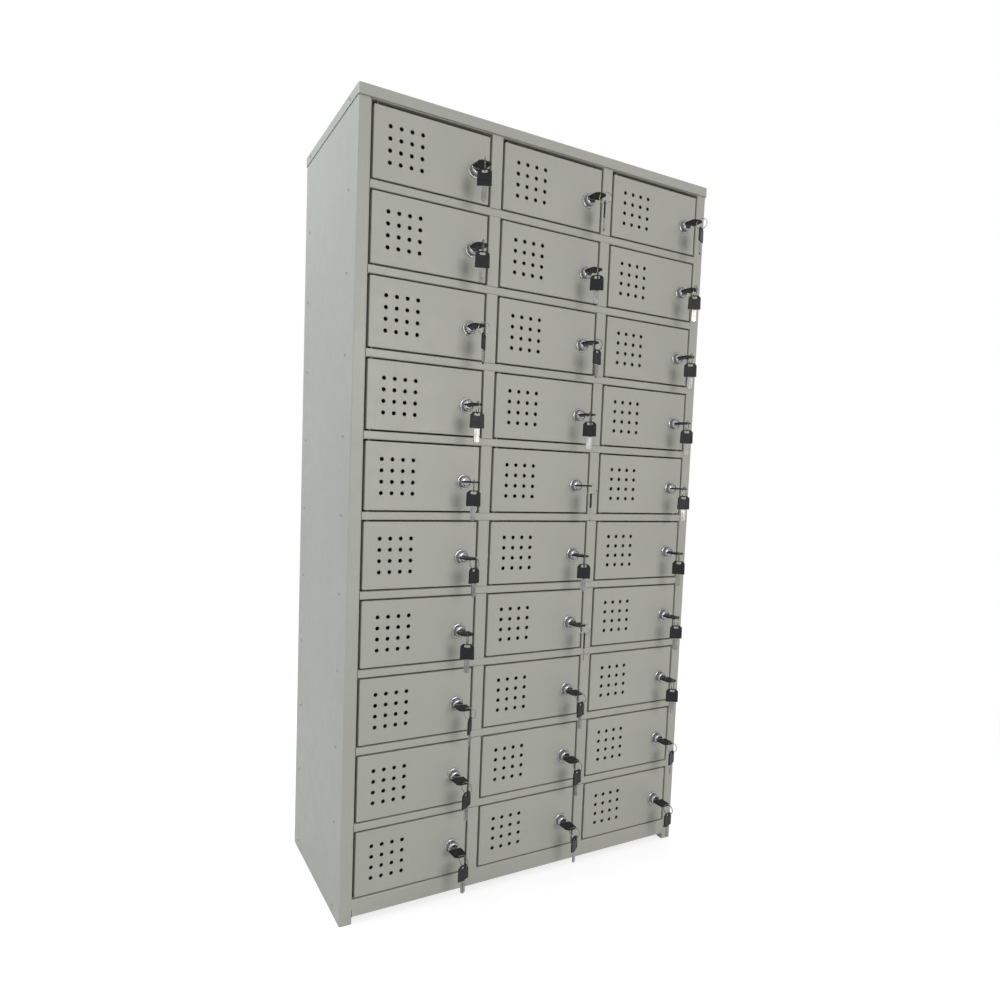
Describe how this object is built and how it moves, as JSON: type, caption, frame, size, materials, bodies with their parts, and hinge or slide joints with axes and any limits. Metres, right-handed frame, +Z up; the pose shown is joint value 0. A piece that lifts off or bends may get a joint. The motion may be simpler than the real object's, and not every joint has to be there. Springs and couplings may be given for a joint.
{
  "type": "phone locker",
  "caption": "Free-standing steel locker for mobile phones, with rows of small ventilated doors that each have a cam lock and keys on a ring.",
  "frame": {"origin": "floor level, under the middle of the outer size", "axes": "+Z up, -Y out of the doors towards the user, +X to the right of someone facing the doors"},
  "size_m": [0.6038, 0.2978, 1.112],
  "materials": {
    "powder_coat": "light grey powder coat, fine satin texture",
    "bright_steel": "plain drawn steel",
    "lock_chrome": "polished chrome plate",
    "key_plastic": "black moulded plastic, satin",
    "key_steel": "nickel plated steel"
  },
  "bodies": {
    "cabinet": {"left_side_panel": "powder_coat", "right_side_panel": "powder_coat", "top_cover": "powder_coat", "top_tray": "powder_coat", "back_panel": "powder_coat", "base_tray": "powder_coat", "shelves": "powder_coat", "partitions": "powder_coat", "hinge_pins": "bright_steel", "rivets": "powder_coat"},
    "door_r1_c1": {"door_r1_c1": "powder_coat"},
    "door_r1_c2": {"door_r1_c2": "powder_coat"},
    "door_r1_c3": {"door_r1_c3": "powder_coat"},
    "door_r2_c1": {"door_r2_c1": "powder_coat"},
    "door_r2_c2": {"door_r2_c2": "powder_coat"},
    "door_r2_c3": {"door_r2_c3": "powder_coat"},
    "door_r3_c1": {"door_r3_c1": "powder_coat"},
    "door_r3_c2": {"door_r3_c2": "powder_coat"},
    "door_r3_c3": {"door_r3_c3": "powder_coat"},
    "door_r4_c1": {"door_r4_c1": "powder_coat"},
    "door_r4_c2": {"door_r4_c2": "powder_coat"},
    "door_r4_c3": {"door_r4_c3": "powder_coat"},
    "door_r5_c1": {"door_r5_c1": "powder_coat"},
    "door_r5_c2": {"door_r5_c2": "powder_coat"},
    "door_r5_c3": {"door_r5_c3": "powder_coat"},
    "door_r6_c1": {"door_r6_c1": "powder_coat"},
    "door_r6_c2": {"door_r6_c2": "powder_coat"},
    "door_r6_c3": {"door_r6_c3": "powder_coat"},
    "door_r7_c1": {"door_r7_c1": "powder_coat"},
    "door_r7_c2": {"door_r7_c2": "powder_coat"},
    "door_r7_c3": {"door_r7_c3": "powder_coat"},
    "door_r8_c1": {"door_r8_c1": "powder_coat"},
    "door_r8_c2": {"door_r8_c2": "powder_coat"},
    "door_r8_c3": {"door_r8_c3": "powder_coat"},
    "door_r9_c1": {"door_r9_c1": "powder_coat"},
    "door_r9_c2": {"door_r9_c2": "powder_coat"},
    "door_r9_c3": {"door_r9_c3": "powder_coat"},
    "door_r10_c1": {"door_r10_c1": "powder_coat"},
    "door_r10_c2": {"door_r10_c2": "powder_coat"},
    "door_r10_c3": {"door_r10_c3": "powder_coat"},
    "lock_and_keys_r1_c1": {"lock_and_keys_r1_c1": "lock_chrome"},
    "lock_and_keys_r1_c2": {"lock_and_keys_r1_c2": "lock_chrome"},
    "lock_and_keys_r2_c1": {"lock_and_keys_r2_c1": "lock_chrome"},
    "lock_and_keys_r2_c2": {"lock_and_keys_r2_c2": "lock_chrome"},
    "lock_and_keys_r3_c1": {"lock_and_keys_r3_c1": "lock_chrome"},
    "lock_and_keys_r3_c2": {"lock_and_keys_r3_c2": "lock_chrome"},
    "lock_and_keys_r4_c1": {"lock_and_keys_r4_c1": "lock_chrome"},
    "lock_and_keys_r4_c2": {"lock_and_keys_r4_c2": "lock_chrome"},
    "lock_and_keys_r5_c1": {"lock_and_keys_r5_c1": "lock_chrome"},
    "lock_and_keys_r5_c2": {"lock_and_keys_r5_c2": "lock_chrome"},
    "lock_and_keys_r6_c1": {"lock_and_keys_r6_c1": "lock_chrome"},
    "lock_and_keys_r6_c2": {"lock_and_keys_r6_c2": "lock_chrome"},
    "lock_and_keys_r7_c1": {"lock_and_keys_r7_c1": "lock_chrome"},
    "lock_and_keys_r7_c2": {"lock_and_keys_r7_c2": "lock_chrome"},
    "lock_and_keys_r8_c1": {"lock_and_keys_r8_c1": "lock_chrome"},
    "lock_and_keys_r8_c2": {"lock_and_keys_r8_c2": "lock_chrome"},
    "lock_and_keys_r9_c1": {"lock_and_keys_r9_c1": "lock_chrome"},
    "lock_and_keys_r9_c2": {"lock_and_keys_r9_c2": "lock_chrome"},
    "lock_and_keys_r10_c1": {"lock_and_keys_r10_c1": "lock_chrome"},
    "lock_and_keys_r10_c2": {"lock_and_keys_r10_c2": "lock_chrome"}
  },
  "joints": [
    {"name": "hinge_r1_c1", "type": "hinge", "parent": "cabinet", "child": "door_r1_c1", "pos_m": [-0.2735, -0.10014, 1.0455], "axis": [0, 0, -1], "range_deg": [0, 110]},
    {"name": "hinge_r1_c2", "type": "hinge", "parent": "cabinet", "child": "door_r1_c2", "pos_m": [-0.0795, -0.10014, 1.0455], "axis": [0, 0, -1], "range_deg": [0, 110]},
    {"name": "hinge_r1_c3", "type": "hinge", "parent": "cabinet", "child": "door_r1_c3", "pos_m": [0.1145, -0.10014, 1.0455], "axis": [0, 0, -1], "range_deg": [0, 110]},
    {"name": "hinge_r2_c1", "type": "hinge", "parent": "cabinet", "child": "door_r2_c1", "pos_m": [-0.2735, -0.10014, 0.9385], "axis": [0, 0, -1], "range_deg": [0, 110]},
    {"name": "hinge_r2_c2", "type": "hinge", "parent": "cabinet", "child": "door_r2_c2", "pos_m": [-0.0795, -0.10014, 0.9385], "axis": [0, 0, -1], "range_deg": [0, 110]},
    {"name": "hinge_r2_c3", "type": "hinge", "parent": "cabinet", "child": "door_r2_c3", "pos_m": [0.1145, -0.10014, 0.9385], "axis": [0, 0, -1], "range_deg": [0, 110]},
    {"name": "hinge_r3_c1", "type": "hinge", "parent": "cabinet", "child": "door_r3_c1", "pos_m": [-0.2735, -0.10014, 0.8315], "axis": [0, 0, -1], "range_deg": [0, 110]},
    {"name": "hinge_r3_c2", "type": "hinge", "parent": "cabinet", "child": "door_r3_c2", "pos_m": [-0.0795, -0.10014, 0.8315], "axis": [0, 0, -1], "range_deg": [0, 110]},
    {"name": "hinge_r3_c3", "type": "hinge", "parent": "cabinet", "child": "door_r3_c3", "pos_m": [0.1145, -0.10014, 0.8315], "axis": [0, 0, -1], "range_deg": [0, 110]},
    {"name": "hinge_r4_c1", "type": "hinge", "parent": "cabinet", "child": "door_r4_c1", "pos_m": [-0.2735, -0.10014, 0.7245], "axis": [0, 0, -1], "range_deg": [0, 110]},
    {"name": "hinge_r4_c2", "type": "hinge", "parent": "cabinet", "child": "door_r4_c2", "pos_m": [-0.0795, -0.10014, 0.7245], "axis": [0, 0, -1], "range_deg": [0, 110]},
    {"name": "hinge_r4_c3", "type": "hinge", "parent": "cabinet", "child": "door_r4_c3", "pos_m": [0.1145, -0.10014, 0.7245], "axis": [0, 0, -1], "range_deg": [0, 110]},
    {"name": "hinge_r5_c1", "type": "hinge", "parent": "cabinet", "child": "door_r5_c1", "pos_m": [-0.2735, -0.10014, 0.6175], "axis": [0, 0, -1], "range_deg": [0, 110]},
    {"name": "hinge_r5_c2", "type": "hinge", "parent": "cabinet", "child": "door_r5_c2", "pos_m": [-0.0795, -0.10014, 0.6175], "axis": [0, 0, -1], "range_deg": [0, 110]},
    {"name": "hinge_r5_c3", "type": "hinge", "parent": "cabinet", "child": "door_r5_c3", "pos_m": [0.1145, -0.10014, 0.6175], "axis": [0, 0, -1], "range_deg": [0, 110]},
    {"name": "hinge_r6_c1", "type": "hinge", "parent": "cabinet", "child": "door_r6_c1", "pos_m": [-0.2735, -0.10014, 0.5105], "axis": [0, 0, -1], "range_deg": [0, 110]},
    {"name": "hinge_r6_c2", "type": "hinge", "parent": "cabinet", "child": "door_r6_c2", "pos_m": [-0.0795, -0.10014, 0.5105], "axis": [0, 0, -1], "range_deg": [0, 110]},
    {"name": "hinge_r6_c3", "type": "hinge", "parent": "cabinet", "child": "door_r6_c3", "pos_m": [0.1145, -0.10014, 0.5105], "axis": [0, 0, -1], "range_deg": [0, 110]},
    {"name": "hinge_r7_c1", "type": "hinge", "parent": "cabinet", "child": "door_r7_c1", "pos_m": [-0.2735, -0.10014, 0.4035], "axis": [0, 0, -1], "range_deg": [0, 110]},
    {"name": "hinge_r7_c2", "type": "hinge", "parent": "cabinet", "child": "door_r7_c2", "pos_m": [-0.0795, -0.10014, 0.4035], "axis": [0, 0, -1], "range_deg": [0, 110]},
    {"name": "hinge_r7_c3", "type": "hinge", "parent": "cabinet", "child": "door_r7_c3", "pos_m": [0.1145, -0.10014, 0.4035], "axis": [0, 0, -1], "range_deg": [0, 110]},
    {"name": "hinge_r8_c1", "type": "hinge", "parent": "cabinet", "child": "door_r8_c1", "pos_m": [-0.2735, -0.10014, 0.2965], "axis": [0, 0, -1], "range_deg": [0, 110]},
    {"name": "hinge_r8_c2", "type": "hinge", "parent": "cabinet", "child": "door_r8_c2", "pos_m": [-0.0795, -0.10014, 0.2965], "axis": [0, 0, -1], "range_deg": [0, 110]},
    {"name": "hinge_r8_c3", "type": "hinge", "parent": "cabinet", "child": "door_r8_c3", "pos_m": [0.1145, -0.10014, 0.2965], "axis": [0, 0, -1], "range_deg": [0, 110]},
    {"name": "hinge_r9_c1", "type": "hinge", "parent": "cabinet", "child": "door_r9_c1", "pos_m": [-0.2735, -0.10014, 0.1895], "axis": [0, 0, -1], "range_deg": [0, 110]},
    {"name": "hinge_r9_c2", "type": "hinge", "parent": "cabinet", "child": "door_r9_c2", "pos_m": [-0.0795, -0.10014, 0.1895], "axis": [0, 0, -1], "range_deg": [0, 110]},
    {"name": "hinge_r9_c3", "type": "hinge", "parent": "cabinet", "child": "door_r9_c3", "pos_m": [0.1145, -0.10014, 0.1895], "axis": [0, 0, -1], "range_deg": [0, 110]},
    {"name": "hinge_r10_c1", "type": "hinge", "parent": "cabinet", "child": "door_r10_c1", "pos_m": [-0.2735, -0.10014, 0.0825], "axis": [0, 0, -1], "range_deg": [0, 110]},
    {"name": "hinge_r10_c2", "type": "hinge", "parent": "cabinet", "child": "door_r10_c2", "pos_m": [-0.0795, -0.10014, 0.0825], "axis": [0, 0, -1], "range_deg": [0, 110]},
    {"name": "hinge_r10_c3", "type": "hinge", "parent": "cabinet", "child": "door_r10_c3", "pos_m": [0.1145, -0.10014, 0.0825], "axis": [0, 0, -1], "range_deg": [0, 110]},
    {"name": "lock_turn_r1_c1", "type": "hinge", "parent": "door_r1_c1", "child": "lock_and_keys_r1_c1", "pos_m": [-0.132, -0.10414, 1.0415], "axis": [0, 1, 0], "range_deg": [0, 90]},
    {"name": "lock_turn_r1_c2", "type": "hinge", "parent": "door_r1_c2", "child": "lock_and_keys_r1_c2", "pos_m": [0.062, -0.10414, 1.0415], "axis": [0, 1, 0], "range_deg": [0, 90]},
    {"name": "lock_turn_r2_c1", "type": "hinge", "parent": "door_r2_c1", "child": "lock_and_keys_r2_c1", "pos_m": [-0.132, -0.10414, 0.9345], "axis": [0, 1, 0], "range_deg": [0, 90]},
    {"name": "lock_turn_r2_c2", "type": "hinge", "parent": "door_r2_c2", "child": "lock_and_keys_r2_c2", "pos_m": [0.062, -0.10414, 0.9345], "axis": [0, 1, 0], "range_deg": [0, 90]},
    {"name": "lock_turn_r3_c1", "type": "hinge", "parent": "door_r3_c1", "child": "lock_and_keys_r3_c1", "pos_m": [-0.132, -0.10414, 0.8275], "axis": [0, 1, 0], "range_deg": [0, 90]},
    {"name": "lock_turn_r3_c2", "type": "hinge", "parent": "door_r3_c2", "child": "lock_and_keys_r3_c2", "pos_m": [0.062, -0.10414, 0.8275], "axis": [0, 1, 0], "range_deg": [0, 90]},
    {"name": "lock_turn_r4_c1", "type": "hinge", "parent": "door_r4_c1", "child": "lock_and_keys_r4_c1", "pos_m": [-0.132, -0.10414, 0.7205], "axis": [0, 1, 0], "range_deg": [0, 90]},
    {"name": "lock_turn_r4_c2", "type": "hinge", "parent": "door_r4_c2", "child": "lock_and_keys_r4_c2", "pos_m": [0.062, -0.10414, 0.7205], "axis": [0, 1, 0], "range_deg": [0, 90]},
    {"name": "lock_turn_r5_c1", "type": "hinge", "parent": "door_r5_c1", "child": "lock_and_keys_r5_c1", "pos_m": [-0.132, -0.10414, 0.6135], "axis": [0, 1, 0], "range_deg": [0, 90]},
    {"name": "lock_turn_r5_c2", "type": "hinge", "parent": "door_r5_c2", "child": "lock_and_keys_r5_c2", "pos_m": [0.062, -0.10414, 0.6135], "axis": [0, 1, 0], "range_deg": [0, 90]},
    {"name": "lock_turn_r6_c1", "type": "hinge", "parent": "door_r6_c1", "child": "lock_and_keys_r6_c1", "pos_m": [-0.132, -0.10414, 0.5065], "axis": [0, 1, 0], "range_deg": [0, 90]},
    {"name": "lock_turn_r6_c2", "type": "hinge", "parent": "door_r6_c2", "child": "lock_and_keys_r6_c2", "pos_m": [0.062, -0.10414, 0.5065], "axis": [0, 1, 0], "range_deg": [0, 90]},
    {"name": "lock_turn_r7_c1", "type": "hinge", "parent": "door_r7_c1", "child": "lock_and_keys_r7_c1", "pos_m": [-0.132, -0.10414, 0.3995], "axis": [0, 1, 0], "range_deg": [0, 90]},
    {"name": "lock_turn_r7_c2", "type": "hinge", "parent": "door_r7_c2", "child": "lock_and_keys_r7_c2", "pos_m": [0.062, -0.10414, 0.3995], "axis": [0, 1, 0], "range_deg": [0, 90]},
    {"name": "lock_turn_r8_c1", "type": "hinge", "parent": "door_r8_c1", "child": "lock_and_keys_r8_c1", "pos_m": [-0.132, -0.10414, 0.2925], "axis": [0, 1, 0], "range_deg": [0, 90]},
    {"name": "lock_turn_r8_c2", "type": "hinge", "parent": "door_r8_c2", "child": "lock_and_keys_r8_c2", "pos_m": [0.062, -0.10414, 0.2925], "axis": [0, 1, 0], "range_deg": [0, 90]},
    {"name": "lock_turn_r9_c1", "type": "hinge", "parent": "door_r9_c1", "child": "lock_and_keys_r9_c1", "pos_m": [-0.132, -0.10414, 0.1855], "axis": [0, 1, 0], "range_deg": [0, 90]},
    {"name": "lock_turn_r9_c2", "type": "hinge", "parent": "door_r9_c2", "child": "lock_and_keys_r9_c2", "pos_m": [0.062, -0.10414, 0.1855], "axis": [0, 1, 0], "range_deg": [0, 90]},
    {"name": "lock_turn_r10_c1", "type": "hinge", "parent": "door_r10_c1", "child": "lock_and_keys_r10_c1", "pos_m": [-0.132, -0.10414, 0.0785], "axis": [0, 1, 0], "range_deg": [0, 90]},
    {"name": "lock_turn_r10_c2", "type": "hinge", "parent": "door_r10_c2", "child": "lock_and_keys_r10_c2", "pos_m": [0.062, -0.10414, 0.0785], "axis": [0, 1, 0], "range_deg": [0, 90]}
  ]
}
